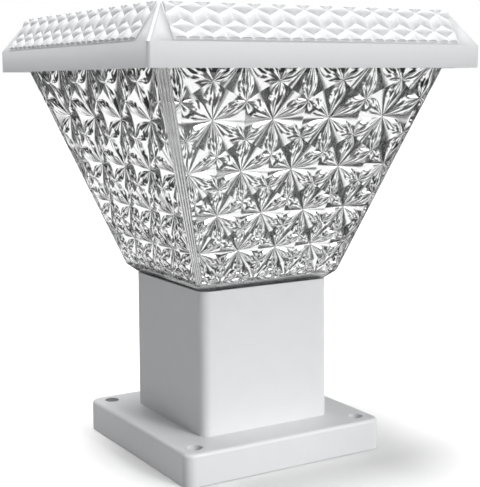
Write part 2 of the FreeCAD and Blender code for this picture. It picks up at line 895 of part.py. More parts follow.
cell_axis_z = tray_top + holder_base + cell_d / 2
contact_top = tray_top + holder_height + contact_rise
holder_inner_half = cell_length / 2 + contact_thickness


def make_battery_holder():
    wide = cell_d / 2 + holder_gap
    x_out = holder_inner_half + holder_wall
    body = box(-x_out, x_out, battery_y - wide - holder_wall, battery_y + wide + holder_wall,
               tray_top, tray_top + holder_height)
    body = body.cut(box(-holder_inner_half, holder_inner_half, battery_y - wide, battery_y + wide,
                        tray_top + holder_base, tray_top + holder_height))
    ears = []
    holes = []
    for x, y in holder_screws():
        half = holder_ear / 2
        ears.append(box(x - half, x + half, y - half, y + half, tray_top, tray_top + holder_base))
        holes.append(screw_hole(small_screw, x, y, tray_top, tray_top + holder_base))
    return body.multiFuse(ears).cut(holes).removeSplitter()


def make_battery_cell():
    """Cylindrical cell lying along X, with its raised positive cap at the +X end."""
    along = V(1, 0, 0)
    can_length = cell_length - cell_cap_height
    can = Part.makeCylinder(cell_d / 2, can_length, V(-cell_length / 2, battery_y, cell_axis_z), along)
    ends = [edge for edge in can.Edges if edge.Closed]
    can = can.makeFillet(cell_edge_r, ends)
    cap_start = V(cell_length / 2 - 2 * cell_cap_height, battery_y, cell_axis_z)
    return can.fuse(Part.makeCylinder(cell_cap_d / 2, 2 * cell_cap_height, cap_start, along))


def make_battery_contacts():
    plates = []
    for side in (-1, 1):
        near = side * cell_length / 2
        far = near + side * contact_thickness
        plates.append(box(min(near, far), max(near, far), battery_y - contact_width / 2,
                          battery_y + contact_width / 2, tray_top + holder_base, contact_top))
    return Part.makeCompound(plates)


# ---------------------------------------------------------------- control board

def board_screws():
    dx = board_length / 2 - board_screw_inset
    dy = board_width / 2 - board_screw_inset
    return [(x, board_y + y) for x in (-dx, dx) for y in (-dy, dy)]


def make_control_board():
    board = box(-board_length / 2, board_length / 2, board_y - board_width / 2, board_y + board_width / 2,
                board_bottom, board_top)
    return board.cut([screw_hole(small_screw, x, y, board_bottom, board_top) for x, y in board_screws()])


def on_board(x, y, length, width, height):
    return box(x - length / 2, x + length / 2, board_y + y - width / 2, board_y + y + width / 2,
               board_top, board_top + height)


def make_controller_chip():
    return on_board(*chip_place, chip_length, chip_width, chip_height)


def make_power_inductor():
    x = inductor_place[0]
    y = board_y + inductor_place[1]
    core = rod(x, y, board_top, board_top + inductor_height, inductor_d)
    low = board_top + inductor_flange
    high = board_top + inductor_height - inductor_flange
    waist = rod(x, y, low, high, inductor_d).cut(rod(x, y, low, high, inductor_d - 2 * inductor_flange))
    return core.cut(waist)


def make_capacitors():
    cans = []
    for x, y in capacitor_places:
        can = rod(x, board_y + y, board_top, board_top + capacitor_height, capacitor_d)
        rim = [edge for edge in can.Edges if abs(edge.CenterOfMass.z - board_top - capacitor_height) < touch]
        cans.append(can.makeFillet(can_edge_r, rim[:1]))
    return Part.makeCompound(cans)


def socket_places():
    """Each socket's middle on the board, and the quarter turns of its mouth from +X."""
    half = socket_depth / 2
    return {
        "solar": (half - board_length / 2, solar_socket_y, 2),
        "led": (board_length / 2 - half, led_socket_y, 0),
        "battery": (battery_socket_x, half - board_width / 2, 3),
        "switch": (switch_socket_x, board_width / 2 - half, 1),
    }


def make_wire_sockets():
    blocks = []
    for x, y, quarters in socket_places().values():
        along_x = quarters % 2 == 0
        length = socket_depth if along_x else socket_length
        width = socket_length if along_x else socket_depth
        blocks.append(on_board(x, y, length, width, socket_height))
    return Part.makeCompound(blocks)


def socket_exit(name, offset):
    """Where a lead leaves a socket's mouth, offset to one side of the middle."""
    x, y, quarters = socket_places()[name]
    reach = turn_point((socket_depth / 2, offset), quarters)
    return V(x + reach[0], board_y + y + reach[1], board_top + socket_height / 2)


# ---------------------------------------------------------------- button and switch

def switch_posts():
    near = button_at - switch_post_offset
    return [(near, button_at), (button_at, near)]


def make_power_button():
    stem = rod(button_at, button_at, tray_bottom - button_drop, tray_top, button_d)
    rim = [edge for edge in stem.Edges if abs(edge.CenterOfMass.z - tray_bottom + button_drop) < touch]
    stem = stem.makeFillet(button_edge_r, rim[:1])
    return stem.fuse(rod(button_at, button_at, tray_top, tray_top + button_collar, button_collar_d))


plunger_bottom = tray_top + button_collar
plunger_top = plunger_bottom + plunger_length


def make_switch_plunger():
    return rod(button_at, button_at, plunger_bottom, plunger_top, plunger_d)


def make_switch_body():
    half = switch_side / 2
    low = button_at - half
    high = button_at + half
    body = box(low, high, low, high, switch_bottom, switch_top)
    bore = rod(button_at, button_at, switch_bottom, switch_top - switch_roof, plunger_d + 2 * running_gap)
    return body.cut(bore)


def make_switch_spring():
    """Coil between the plunger and the roof of the switch's bore."""
    low = plunger_top + spring_wire_d / 2 + screw_gap
    high = switch_top - switch_roof - spring_wire_d / 2 - screw_gap
    radius = (spring_d - spring_wire_d) / 2
    helix = Part.makeHelix((high - low) / spring_turns, high - low, radius)
    section = Part.Wire([Part.makeCircle(spring_wire_d / 2, V(radius, 0, 0), V(0, 1, 0))])
    coil = Part.Wire(helix.Edges).makePipeShell([section], True, True)
    coil.translate(V(button_at, button_at, low))
    return coil


def make_switch_board():
    edge = button_at + switch_board_edge
    near = edge - switch_board_reach
    cut = near + switch_board_cut
    outline = [(edge, edge), (near, edge), (near, cut), (cut, near), (edge, near)]
    board = prism(polygon_wire(outline, switch_top), switch_board_thickness)
    holes = [screw_hole(small_screw, x, y, switch_top, switch_board_top) for x, y in switch_posts()]
    for x, y in switch_pins():
        holes.append(rod(x, y, switch_top, switch_board_top, pin_d + 2 * screw_gap))
    return board.cut(holes)


def switch_pins():
    return [(button_at + x, button_at + y) for x, y in four_corners(pin_offset)]


def make_switch_pins():
    pins = [rod(x, y, switch_top, switch_board_top + pin_rise, pin_d) for x, y in switch_pins()]
    return Part.makeCompound(pins)


# ---------------------------------------------------------------- leads inside the roof

def solar_lead(offset):
    """From the board, up through the hole in the pocket's floor to the solar panel's back."""
    start = socket_exit("solar", offset)
    corner = V(panel_hole_x, start.y, start.z)
    return lead([start, corner, V(panel_hole_x, start.y, pocket_floor_z)], lead_bend)


def led_lead(offset):
    """From the board, down through the tray to the back of the LED board."""
    start = socket_exit("led", offset)
    corner = V(led_hole_x, start.y, start.z)
    return lead([start, corner, V(led_hole_x, start.y, tray_bottom)], lead_bend)


def battery_lead(offset):
    """From the board, round the end of the battery holder and onto the contact above its end wall."""
    start = socket_exit("battery", offset)
    side = math.copysign(1, offset)
    ear_y = battery_y + cell_d / 2 + holder_gap + holder_wall + holder_ear
    run_y = ear_y + 2 * lead_d
    end_x = side * (holder_inner_half + holder_wall + lead_run_out)
    contact_z = contact_top - lead_d
    points = [
        start,
        V(start.x, run_y, start.z),
        V(end_x, run_y, start.z),
        V(end_x, battery_y, start.z),
        V(end_x, battery_y, contact_z),
        V(side * holder_inner_half, battery_y, contact_z),
    ]
    return lead(points, lead_bend)


def switch_lead(offset):
    """From the board, up and over to a pad on the switch board."""
    start = socket_exit("switch", offset)
    pad = button_at - switch_pad_inset
    over_z = switch_board_top + lead_bend + lead_reach / 2
    rise_y = start.y + lead_run_out
    points = [
        start,
        V(start.x, rise_y, start.z),
        V(start.x, rise_y, over_z),
        V(start.x, pad + offset, over_z),
        V(pad, pad + offset, over_z),
        V(pad, pad + offset, switch_board_top),
    ]
    return lead(points, lead_bend)


def make_leads(side):
    offset = side * lead_gap / 2
    leads = [solar_lead, led_lead, battery_lead, switch_lead]
    return Part.makeCompound([one(offset) for one in leads])


# ---------------------------------------------------------------- fasteners

def screw_set(size, places, z, direction):
    return Part.makeCompound([screw(size, x, y, z, direction) for x, y in places])


NODES = {
    "base_plate": make_base_plate(),
    "base_screws": screw_set(base_screw, four_corners(channel_at), base_screw_seat, 1),
    "neck_column": make_neck_column(),
    "neck_cap": make_neck_cap(),
    "foot_gasket": make_foot_gasket(),
    "shade": make_shade(),
    "foot_screws": screw_set(foot_screw, four_corners(channel_at), shade_foot_z + shade_floor, -1),
    "shade_gasket": make_shade_gasket(),
    "lamp_tray": make_lamp_tray(),
    "tray_screws": screw_set(tray_screw, four_corners(lug_at), tray_top, -1),
    "roof_cover": make_roof_cover(),
    "roof_screws": screw_set(roof_screw, four_sides(eave_screw_at), roof_screw_seat, 1),
    "solar_backsheet": make_solar_backsheet(),
    "solar_cells": make_solar_cells(),
    "solar_ribbons": make_solar_ribbons(),
    "solar_laminate": make_solar_laminate(),
    "solar_seal": make_solar_seal(),
    "led_board": make_led_board(),
    "led_packages": make_led_packages(),
    "led_phosphor": make_led_phosphor(),
    "led_board_screws": screw_set(small_screw, four_corners(led_screw_offset), led_bottom, 1),
    "battery_holder": make_battery_holder(),
    "battery_holder_screws": screw_set(small_screw, holder_screws(), tray_top + holder_base, -1),
    "battery_cell": make_battery_cell(),
    "battery_contacts": make_battery_contacts(),
    "control_board": make_control_board(),
    "control_board_screws": screw_set(small_screw, board_screws(), board_top, -1),
    "controller_chip": make_controller_chip(),
    "power_inductor": make_power_inductor(),
    "capacitors": make_capacitors(),
    "wire_sockets": make_wire_sockets(),
    "switch_board": make_switch_board(),
    "switch_board_screws": screw_set(small_screw, switch_posts(), switch_board_top, -1),
    "switch_pins": make_switch_pins(),
    "switch_body": make_switch_body(),
    "switch_spring": make_switch_spring(),
    "switch_plunger": make_switch_plunger(),
    "power_button": make_power_button(),
    "positive_leads": make_leads(1),
    "negative_leads": make_leads(-1),
}

os.makedirs("parts", exist_ok=True)
for name, shape in NODES.items():
    shape.exportStep(f"parts/{name}.step")
    print(name, "solids", len(shape.Solids), "valid", shape.isValid(), "volume", round(shape.Volume, 1))
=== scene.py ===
import json
import math

import bmesh
import bpy
from mathutils import Matrix, Vector


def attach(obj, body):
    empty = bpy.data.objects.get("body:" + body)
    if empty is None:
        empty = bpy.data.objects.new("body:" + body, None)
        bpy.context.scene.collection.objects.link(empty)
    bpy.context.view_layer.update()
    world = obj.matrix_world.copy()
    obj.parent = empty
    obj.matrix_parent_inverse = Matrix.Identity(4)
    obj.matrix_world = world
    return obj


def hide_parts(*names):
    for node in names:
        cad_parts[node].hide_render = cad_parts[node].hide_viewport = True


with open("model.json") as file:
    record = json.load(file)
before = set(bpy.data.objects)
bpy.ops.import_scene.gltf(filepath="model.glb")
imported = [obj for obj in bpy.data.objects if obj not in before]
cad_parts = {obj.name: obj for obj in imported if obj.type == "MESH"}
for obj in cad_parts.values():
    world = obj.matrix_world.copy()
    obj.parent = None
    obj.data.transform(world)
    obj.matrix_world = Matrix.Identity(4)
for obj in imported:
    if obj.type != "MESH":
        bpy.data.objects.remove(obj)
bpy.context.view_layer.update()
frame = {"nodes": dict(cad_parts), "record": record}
nodes = frame["nodes"]
scene = bpy.context.scene
MM = 0.001


# ---------------------------------------------------------------- materials

def new_material(name):
    mat = bpy.data.materials.new(name)
    mat.use_nodes = True
    tree = mat.node_tree
    return mat, tree, tree.nodes["Principled BSDF"]


def link(tree, a, a_out, b, b_in):
    tree.links.new(a.outputs[a_out], b.inputs[b_in])


def noise_of(tree, scale, detail, stretch=(1, 1, 1)):
    """Noise over the piece's own coordinates."""
    coord = tree.nodes.new("ShaderNodeTexCoord")
    mapping = tree.nodes.new("ShaderNodeMapping")
    mapping.inputs["Scale"].default_value = stretch
    noise = tree.nodes.new("ShaderNodeTexNoise")
    noise.inputs["Scale"].default_value = scale
    noise.inputs["Detail"].default_value = detail
    link(tree, coord, "Object", mapping, "Vector")
    link(tree, mapping, "Vector", noise, "Vector")
    return noise


def ramp_of(tree, source, low, high):
    """A node's factor spread between two values."""
    ramp = tree.nodes.new("ShaderNodeMapRange")
    ramp.inputs["To Min"].default_value = low
    ramp.inputs["To Max"].default_value = high
    link(tree, source, "Fac", ramp, "Value")
    return ramp


def tinted(tree, factor, one, two):
    """A colour between two others."""
    mix = tree.nodes.new("ShaderNodeMix")
    mix.data_type = "RGBA"
    mix.inputs["A"].default_value = (*one, 1)
    mix.inputs["B"].default_value = (*two, 1)
    tree.links.new(factor, mix.inputs["Factor"])
    return mix.outputs["Result"]


BUMP_SCALE = 900.0
BUMP_DISTANCE = 0.00004


def surface(name, one, two, rough, rough_spread=0.05, scale=120.0, bump=0.0, metallic=0.0, coat=0.0):
    """A moulded, metal or coated finish with a slight mottle in colour and roughness, and a fine bump."""
    mat, tree, bsdf = new_material(name)
    noise = noise_of(tree, scale, 4.0)
    tree.links.new(tinted(tree, noise.outputs["Fac"], one, two), bsdf.inputs["Base Color"])
    spread = ramp_of(tree, noise, rough - rough_spread, rough + rough_spread)
    link(tree, spread, "Result", bsdf, "Roughness")
    bsdf.inputs["Metallic"].default_value = metallic
    bsdf.inputs["Coat Weight"].default_value = coat
    if bump:
        fine = noise_of(tree, BUMP_SCALE, 2.0)
        node = tree.nodes.new("ShaderNodeBump")
        node.inputs["Strength"].default_value = bump
        node.inputs["Distance"].default_value = BUMP_DISTANCE
        link(tree, fine, "Fac", node, "Height")
        link(tree, node, "Normal", bsdf, "Normal")
    return mat


def clear(name, ior, rough, tint, gloss=0.0):
    """A clear plastic, with a share of plain gloss where its facets sparkle."""
    mat, tree, bsdf = new_material(name)
    noise = noise_of(tree, 60.0, 2.0)
    spread = ramp_of(tree, noise, rough * 0.5, rough)
    link(tree, spread, "Result", bsdf, "Roughness")
    bsdf.inputs["Base Color"].default_value = (*tint, 1)
    bsdf.inputs["Transmission Weight"].default_value = 1.0
    bsdf.inputs["IOR"].default_value = ior
    if gloss:
        shine = tree.nodes.new("ShaderNodeBsdfGlossy")
        shine.inputs["Roughness"].default_value = rough
        mix = tree.nodes.new("ShaderNodeMixShader")
        mix.inputs["Fac"].default_value = gloss
        link(tree, bsdf, "BSDF", mix, 1)
        link(tree, shine, "BSDF", mix, 2)
        link(tree, mix, "Shader", tree.nodes["Material Output"], "Surface")
    return mat


MATERIALS = {
    "white_plastic": surface("white_plastic", (0.80, 0.81, 0.82), (0.84, 0.845, 0.85), 0.42, 0.04, 90, 0.10),
    "crystal_plastic": clear("crystal_plastic", 1.59, 0.03, (0.98, 0.985, 0.99), 0.6),
    "crystal_inner": clear("crystal_inner", 1.59, 0.22, (0.98, 0.985, 0.99)),
    # The corner bands' copy of the clear plastic is tinted greyer than the rest of the shade, which is
    # painted shade; it is also rougher and less glossy.
    "crystal_band": clear("crystal_band", 1.59, 0.12, (0.9, 0.91, 0.92), 0.5),
    "dark_rubber": surface("dark_rubber", (0.03, 0.03, 0.032), (0.045, 0.045, 0.05), 0.6, 0.06, 200, 0.2),
    "screw_steel": surface("screw_steel", (0.55, 0.56, 0.58), (0.68, 0.69, 0.70), 0.28, 0.08, 300, 0.1,
                           metallic=1.0),
    "panel_backsheet": surface("panel_backsheet", (0.80, 0.80, 0.79), (0.84, 0.84, 0.83), 0.5, 0.05),
    "tinned_copper": surface("tinned_copper", (0.72, 0.72, 0.70), (0.82, 0.82, 0.80), 0.25, 0.06, 250,
                             metallic=1.0),
    "panel_laminate": clear("panel_laminate", 1.32, 0.12, (0.97, 0.98, 0.99)),
    "board_white": surface("board_white", (0.82, 0.82, 0.80), (0.86, 0.86, 0.84), 0.35, 0.05, 80, coat=0.3),
    "board_green": surface("board_green", (0.01, 0.12, 0.04), (0.015, 0.17, 0.06), 0.32, 0.06, 120, 0.1,
                           coat=0.3),
    "led_body": surface("led_body", (0.80, 0.80, 0.78), (0.86, 0.86, 0.84), 0.45, 0.05, 400),
    "phosphor": surface("phosphor", (0.85, 0.62, 0.08), (0.9, 0.7, 0.14), 0.25, 0.05, 500, coat=0.5),
    "black_plastic": surface("black_plastic", (0.018, 0.018, 0.02), (0.03, 0.03, 0.032), 0.5, 0.06, 200, 0.2),
    "battery_wrap": surface("battery_wrap", (0.03, 0.12, 0.40), (0.045, 0.16, 0.48), 0.3, 0.05, 60, coat=0.4),
    "ferrite": surface("ferrite", (0.03, 0.03, 0.034), (0.06, 0.06, 0.065), 0.7, 0.06, 400, 0.3),
    "capacitor_can": surface("capacitor_can", (0.02, 0.02, 0.03), (0.03, 0.03, 0.045), 0.35, 0.05, 120,
                             coat=0.3),
    "socket_plastic": surface("socket_plastic", (0.72, 0.69, 0.60), (0.78, 0.75, 0.66), 0.45, 0.05, 200),
    "button_plastic": surface("button_plastic", (0.20, 0.20, 0.21), (0.25, 0.25, 0.26), 0.55, 0.05, 200, 0.2),
    "red_wire": surface("red_wire", (0.45, 0.02, 0.015), (0.55, 0.03, 0.02), 0.4, 0.05, 200),
    "black_wire": surface("black_wire", (0.012, 0.012, 0.013), (0.02, 0.02, 0.022), 0.4, 0.05, 200),
}


def silicon():
    """Dark blue cells with fine silver fingers across them."""
    mat, tree, bsdf = new_material("solar_silicon")
    noise = noise_of(tree, 30.0, 2.0)
    base = tinted(tree, noise.outputs["Fac"], (0.012, 0.022, 0.07), (0.02, 0.035, 0.11))
    coord = tree.nodes.new("ShaderNodeTexCoord")
    wave = tree.nodes.new("ShaderNodeTexWave")
    wave.bands_direction = "Y"
    wave.inputs["Scale"].default_value = 190.0
    link(tree, coord, "Object", wave, "Vector")
    fingers = tree.nodes.new("ShaderNodeMapRange")
    fingers.inputs["From Min"].default_value = 0.95
    fingers.inputs["From Max"].default_value = 0.985
    link(tree, wave, "Fac", fingers, "Value")
    mix = tree.nodes.new("ShaderNodeMix")
    mix.data_type = "RGBA"
    tree.links.new(base, mix.inputs["A"])
    mix.inputs["B"].default_value = (0.55, 0.57, 0.6, 1)
    link(tree, fingers, "Result", mix, "Factor")
    tree.links.new(mix.outputs["Result"], bsdf.inputs["Base Color"])
    bsdf.inputs["Roughness"].default_value = 0.22
    bsdf.inputs["Coat Weight"].default_value = 0.4
    return mat


MATERIALS["solar_silicon"] = silicon()
SLOTS = {part["node"]: part["material_slot"] for part in frame["record"]["subparts"]}
for name, obj in nodes.items():
    obj.data.materials.clear()
    obj.data.materials.append(MATERIALS[SLOTS[name]])


# ---------------------------------------------------------------- moulded star relief

# All sizes of the relief are in millimetres.

# Shade: its faces between shoulder and rim, as in the CAD.
SHOULDER_Z = 104.2
SHOULDER_HALF = 46.4
SHADE_TAPER = 42.0 / 114.3
SHADE_RIM_Z = 219.0
BAND_LEG_LOW = 2.8
BAND_LEG_HIGH = 5.3
BAND_HEIGHT = 114.3

# Stars: rows grow with the shade's width, and the first row lies above the rim.
STAR_ROWS_TOP_Z = 222.5
STAR_ROWS_END = -14.0
STAR_SPAN = 0.45
STAR_ROW_RATIO = 0.8745
STAR_REACH = 4
STAR_DEPTH = 2.95
PEAK_DEPTH = 0.12
EDGE_SAG = 1.2
LEAF_WIDTH = 0.22
LEAF_BULGE = 1.4
LEAF_SKEW = 1.45
LEAF_ROUND = 0.9
LEAF_CROWD = 0.16
LEAF_STEPS = 14
LEAF_ACROSS = 8

# Corner bands of the shade: hollow reeds from foot to rim.
REEDS = 4
REED_DEPTH = 0.45
REED_STEPS = 8

# Roof: its slopes and the slab on each, as in the CAD.
ROOF_HALF = 100.0
SKIRT_TOP = 230.5
SLOPE_RUN = 13.0
SLOPE_RISE = 19.5
SLAB_HALF = 86.7
SLAB_FOOT = 0.4
SLAB_STEP = 0.8
LIP_DROP = 0.7
CAD_QUILT_FOOT = 0.95
CAD_QUILT_RISE = 1.7

# Quilt: convex leaves on a slab that stands lower than the CAD's.
QUILT_HALF = 86.1
QUILT_MARGIN = 1.0
QUILT_START = 2.1
QUILT_DROP = 0.55
QUILT_LOW = 0.2
QUILT_PILLOW = 1.3
PILLOW_POWER = 0.8
PILLOW_STEPS = 8
QUILT_PITCH = 14.35
QUILT_ROW = 11.4
QUILT_FIRST = 8.6
QUILT_REACH = 8

SHARP_ANGLE = 24
NEAR = 0.05


class Panel:
    """A sloping panel seen from outside: u across, v up the slope, h out of it, in quarter turns."""

    def __init__(self, half, foot_z, rise, run):
        length = math.hypot(rise, run)
        self.foot = Vector((0, -half, foot_z))
        self.along = Vector((0, run / length, rise / length))
        self.out = Vector((0, -rise / length, run / length))

    def point(self, u, v, h, quarter):
        """A place in metres."""
        p = self.foot + Vector((1, 0, 0)) * u + self.along * v + self.out * h
        for _ in range(quarter):
            p = Vector((-p.y, p.x, p.z))
        return p * MM

    def local(self, p, quarter):
        """(u, v, h) of a point in metres."""
        p = p / MM
        for _ in range(quarter):
            p = Vector((p.y, -p.x, p.z))
        d = p - self.foot
        return d.x, d.dot(self.along), d.dot(self.out)


def between(p, q, t):
    return tuple(a + (b - a) * t for a, b in zip(p, q))


def middle_of(triangle):
    return sum(p[0] for p in triangle) / 3, sum(p[1] for p in triangle) / 3


def strips(grid):
    """The quads between the points of a grid."""
    return [[low[j], high[j], high[j + 1], low[j + 1]]
            for low, high in zip(grid, grid[1:]) for j in range(len(low) - 1)]


def lattice(rows, reach):
    """Triangles of stars between rows of (v, pitch), every second row set off by half a pitch."""
    found = []
    for index in range(len(rows) - 1):
        shift = 0.5 * (index % 2)
        other = 0.5 - shift
        (v0, p0), (v1, p1) = rows[index], rows[index + 1]
        step = 0 if shift == 0 else 1
        for k in range(-reach, reach + 1):
            a, b = ((k + shift) * p0, v0), ((k + 1 + shift) * p0, v0)
            c = ((k + step + other) * p1, v1)
            found.append((a, b, c))
            a, b = ((k + other) * p1, v1), ((k + 1 + other) * p1, v1)
            c = ((k + 1 - step + shift) * p0, v0)
            found.append((a, b, c))
    return found


def clipped(polygon, outline):
    """The part of a polygon that lies inside a convex outline."""
    for (ax, ay), (bx, by) in zip(outline, outline[1:] + outline[:1]):
        kept = []
        sides = [(bx - ax) * (p[1] - ay) - (by - ay) * (p[0] - ax) for p in polygon]
        for i, here in enumerate(polygon):
            after = polygon[(i + 1) % len(polygon)]
            s0, s1 = sides[i], sides[(i + 1) % len(polygon)]
            if s0 >= 0:
                kept.append(here)
            if s0 * s1 < 0:
                t = s0 / (s0 - s1)
                kept.append(between(here, after, t))
        polygon = kept
        if len(polygon) < 3:
            return []
    return polygon


def on_border(p, q, outline):
    """Whether an edge lies on the outline."""
    for (ax, ay), (bx, by) in zip(outline, outline[1:] + outline[:1]):
        length = math.hypot(bx - ax, by - ay)
        if all(abs((bx - ax) * (r[1] - ay) - (by - ay) * (r[0] - ax)) / length < 1e-4 for r in (p, q)):
            return True
    return False


def pillows(rows):
    """A convex leaf between each star, its neighbour and the two middles beside them."""
    beside = {}
    for triangle in lattice(rows, QUILT_REACH):
        for i in range(3):
            pair = sorted([triangle[i], triangle[(i + 1) % 3]])
            key = tuple(round(c, 3) for p in pair for c in p)
            beside.setdefault(key, []).append((pair, middle_of(triangle)))
    out = []
    for found in beside.values():
        if len(found) < 2:
            continue
        (star, neighbour), middle = found[0]
        corners = (star, middle, neighbour, found[1][1])
        grid = []
        for i in range(PILLOW_STEPS + 1):
            q = i / PILLOW_STEPS
            row = []
            for j in range(PILLOW_STEPS + 1):
                w = j / PILLOW_STEPS
                shares = ((1 - q) * (1 - w), q * (1 - w), q * w, (1 - q) * w)
                x, y = (sum(k * c[n] for k, c in zip(shares, corners)) for n in range(2))
                crown = (16 * q * (1 - q) * w * (1 - w)) ** PILLOW_POWER
                row.append((x, y, QUILT_LOW + QUILT_PILLOW * crown))
            grid.append(row)
        out.append((True, strips(grid)))
    return out


def leaf_width(t, wide):
    """Half the leaf's width at a share of its length."""
    return wide * math.sin(math.pi * t ** LEAF_SKEW) ** LEAF_ROUND if 0 < t < 1 else 0.0


def gore_height(star, x, y, one, two):
    """Height of the hollow cone from a star to the sagging edge between two middles."""
    dx, dy = x - star[0], y - star[1]
    if dx * dx + dy * dy < 1e-12:
        return -STAR_DEPTH
    ex, ey = two[0] - one[0], two[1] - one[1]
    ox, oy = one[0] - star[0], one[1] - star[1]
    cross = dx * ey - dy * ex
    far = (ox * ey - oy * ex) / cross
    along = min(1.0, abs((ox * dy - oy * dx) / cross))
    edge = -PEAK_DEPTH - EDGE_SAG * 4 * along * (1 - along)
    return -STAR_DEPTH + (edge + STAR_DEPTH) / far


def leaf_cell(star, middle, ahead, behind):
    """A convex leaf from a star to a middle, as its two borders and the rows between them."""
    length = math.dist(middle, star)
    dx, dy = (middle[0] - star[0]) / length, (middle[1] - star[1]) / length
    wide = LEAF_WIDTH * length
    left, right, lines = [], [], []
    for step in range(LEAF_STEPS + 1):
        t = step / LEAF_STEPS
        t -= LEAF_CROWD * math.sin(2 * math.pi * t) / (2 * math.pi)
        w = leaf_width(t, wide)
        x, y = star[0] + dx * length * t, star[1] + dy * length * t
        one, two = (x - dy * w, y + dx * w), (x + dy * w, y - dx * w)
        at_tip = step == LEAF_STEPS
        left.append((*one, -PEAK_DEPTH if at_tip else gore_height(star, *one, middle, ahead)))
        right.append((*two, -PEAK_DEPTH if at_tip else gore_height(star, *two, behind, middle)))
        row = []
        for j in range(LEAF_ACROSS + 1):
            share = j / LEAF_ACROSS
            rise = LEAF_BULGE * (w / wide) * (1 - (2 * share - 1) ** 2)
            base = between(right[-1], left[-1], share)
            row.append((base[0], base[1], base[2] + rise))
        lines.append(row)
    return left, right, lines


def gore_lines(star, left, right, one, two):
    """The hollow gore between one leaf's left border and the next leaf's right border."""
    lines = []
    for p, q in zip(left, right):
        row = [p]
        for j in range(1, LEAF_ACROSS):
            x, y = between(p[:2], q[:2], j / LEAF_ACROSS)
            row.append((x, y, gore_height(star, x, y, one, two)))
        lines.append(row + [q])
    return lines


def star_cells(rows):
    """Six hollow gores and six leaves round every star, each leaf reaching to the middle of a triangle."""
    corners = {}
    for triangle in lattice(rows, STAR_REACH):
        for star in triangle:
            corners.setdefault((round(star[0], 3), round(star[1], 3)), []).append(middle_of(triangle))
    out = []
    for star, middles in corners.items():
        if len(middles) < 6:
            continue
        middles.sort(key=lambda m: math.atan2(m[1] - star[1], m[0] - star[0]))
        borders = []
        for k, middle in enumerate(middles):
            left, right, lines = leaf_cell(star, middle, middles[(k + 1) % 6], middles[k - 1])
            out.append((True, strips(lines)))
            borders.append((left, right))
        for k in range(6):
            after = (k + 1) % 6
            lines = gore_lines(star, borders[k][0], borders[after][1], middles[k], middles[after])
            out.append((True, strips(lines)))
    return out


def orient(face):
    """The face turned anticlockwise, and its area."""
    area = 0.0
    for p, q in zip(face, face[1:] + face[:1]):
        area += p[0] * q[1] - p[1] * q[0]
    return (face if area > 0 else face[::-1]), abs(area) / 2


def relief_faces(patches, outline, border):
    """Patches cut to the outline, with a small wall from each cut up to the border's height."""
    done = []
    for smooth, faces in patches:
        kept = []
        walls = []
        for face in faces:
            piece = clipped(face, outline)
            if not piece:
                continue
            ring = []
            for p in piece:
                if not ring or math.dist(p, ring[-1]) > 1e-5:
                    ring.append(p)
            if len(ring) > 1 and math.dist(ring[0], ring[-1]) < 1e-5:
                ring.pop()
            if len(ring) < 3:
                continue
            ring, area = orient(ring)
            if area < 1e-7:
                continue
            kept.append(ring)
            for p, q in zip(ring, ring[1:] + ring[:1]):
                if on_border(p, q, outline) and max(abs(p[2] - border), abs(q[2] - border)) > 1e-4:
                    walls.append([q, p, (p[0], p[1], border), (q[0], q[1], border)])
        if kept:
            done.append((smooth, kept))
        for wall in walls:
            done.append((False, [wall]))
    return done


def add_relief(bm, panel, done, quarter):
    """Adds the faces of a relief to one side of the lamp, joined within each patch."""
    for smooth, faces in done:
        seen = {}
        for face in faces:
            verts = []
            for p in face:
                key = (round(p[0], 4), round(p[1], 4), round(p[2], 4))
                if key not in seen:
                    seen[key] = bm.verts.new(panel.point(*p, quarter))
                if not verts or verts[-1] is not seen[key]:
                    verts.append(seen[key])
            if len(verts) > 1 and verts[0] is verts[-1]:
                verts.pop()
            if len(verts) < 3:
                continue
            if not any(set(f.verts) == set(verts) for f in verts[0].link_faces):
                bm.faces.new(verts).smooth = smooth


def cad_copy(name, dropped, slot=0):
    """A bmesh of a CAD node without the faces that finer ones stand for."""
    bm = bmesh.new()
    bm.from_mesh(nodes[name].data)
    bmesh.ops.remove_doubles(bm, verts=bm.verts, dist=1e-7)
    bmesh.ops.delete(bm, geom=[f for f in bm.faces if dropped(f)], context="FACES")
    for face in bm.faces:
        nx, ny = abs(face.normal.x), abs(face.normal.y)
        face.smooth = nx > 0.01 and ny > 0.01
        face.material_index = slot
    return bm


def finished(bm, name, node, materials):
    """Makes the piece that stands for a CAD node."""
    mesh = bpy.data.meshes.new(name)
    bm.to_mesh(mesh)
    bm.free()
    for material in materials:
        mesh.materials.append(material)
    mesh.set_sharp_from_angle(angle=math.radians(SHARP_ANGLE))
    obj = bpy.data.objects.new(name, mesh)
    scene.collection.objects.link(obj)
    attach(obj, "lamp")
    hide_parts(node)


def inside(u, v, outline, slack):
    """Whether a place lies inside an outline by at least the slack."""
    for (ax, ay), (bx, by) in zip(outline, outline[1:] + outline[:1]):
        length = math.hypot(bx - ax, by - ay)
        if ((bx - ax) * (v - ay) - (by - ay) * (u - ax)) / length < slack:
            return False
    return True


# Roof cover: the quilted panels on its four slopes.
slope = Panel(ROOF_HALF, SKIRT_TOP, SLOPE_RISE, SLOPE_RUN)
slope_length = math.hypot(SLOPE_RUN, SLOPE_RISE)
slab_level = SLAB_STEP - QUILT_DROP


def rectangle(half, low, high):
    return [(-half, low), (half, low), (half, high), (-half, high)]


def quilt_face(face):
    """Whether a CAD face is part of a quilted panel."""
    top = CAD_QUILT_FOOT + CAD_QUILT_RISE
    for quarter in range(4):
        spots = [slope.local(v.co, quarter) for v in face.verts]
        if all(CAD_QUILT_FOOT - 0.01 < h < top + 0.1 and abs(u) < QUILT_HALF + 0.1 for u, v, h in spots):
            return True
    return False


